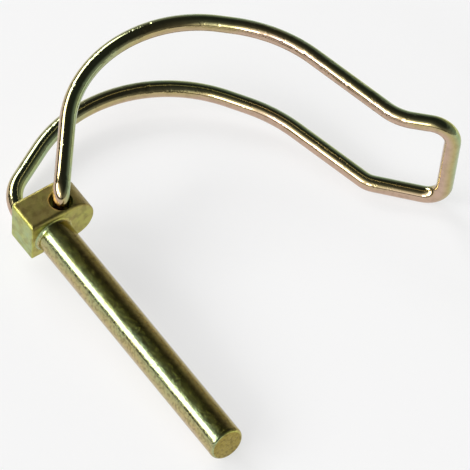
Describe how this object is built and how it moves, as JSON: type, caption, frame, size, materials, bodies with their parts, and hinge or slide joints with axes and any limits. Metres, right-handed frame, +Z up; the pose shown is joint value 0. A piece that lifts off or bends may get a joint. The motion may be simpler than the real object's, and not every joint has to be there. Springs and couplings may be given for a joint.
{
  "type": "wire lock pin",
  "caption": "Forged lock pin with a block head and a sprung wire bail that hinges in the head and snaps over the pin's tip, lying open.",
  "frame": {"origin": "middle of the shoulder under the head, on the shank's axis", "axes": "+X nearly along the shank from the head to the tip, +Y towards the head's round side and the open bail, +Z up from the surface that the part lies on"},
  "size_m": [0.0955, 0.0872, 0.0267],
  "materials": {
    "pin": "yellow zinc plated forged steel, glossy with a faint iridescence",
    "bail": "yellow zinc plated spring wire, glossy with a faint iridescence"
  },
  "bodies": {
    "pin": {"pin": "pin"},
    "bail": {"bail": "bail"}
  },
  "joints": [
    {"name": "bail_swing", "type": "hinge", "parent": "pin", "child": "bail", "pos_m": [-0.00307, 0.00389, 0.00056], "axis": [0.0765, -0.0819, 0.9937], "range_deg": [-67.5, 112.5]}
  ]
}
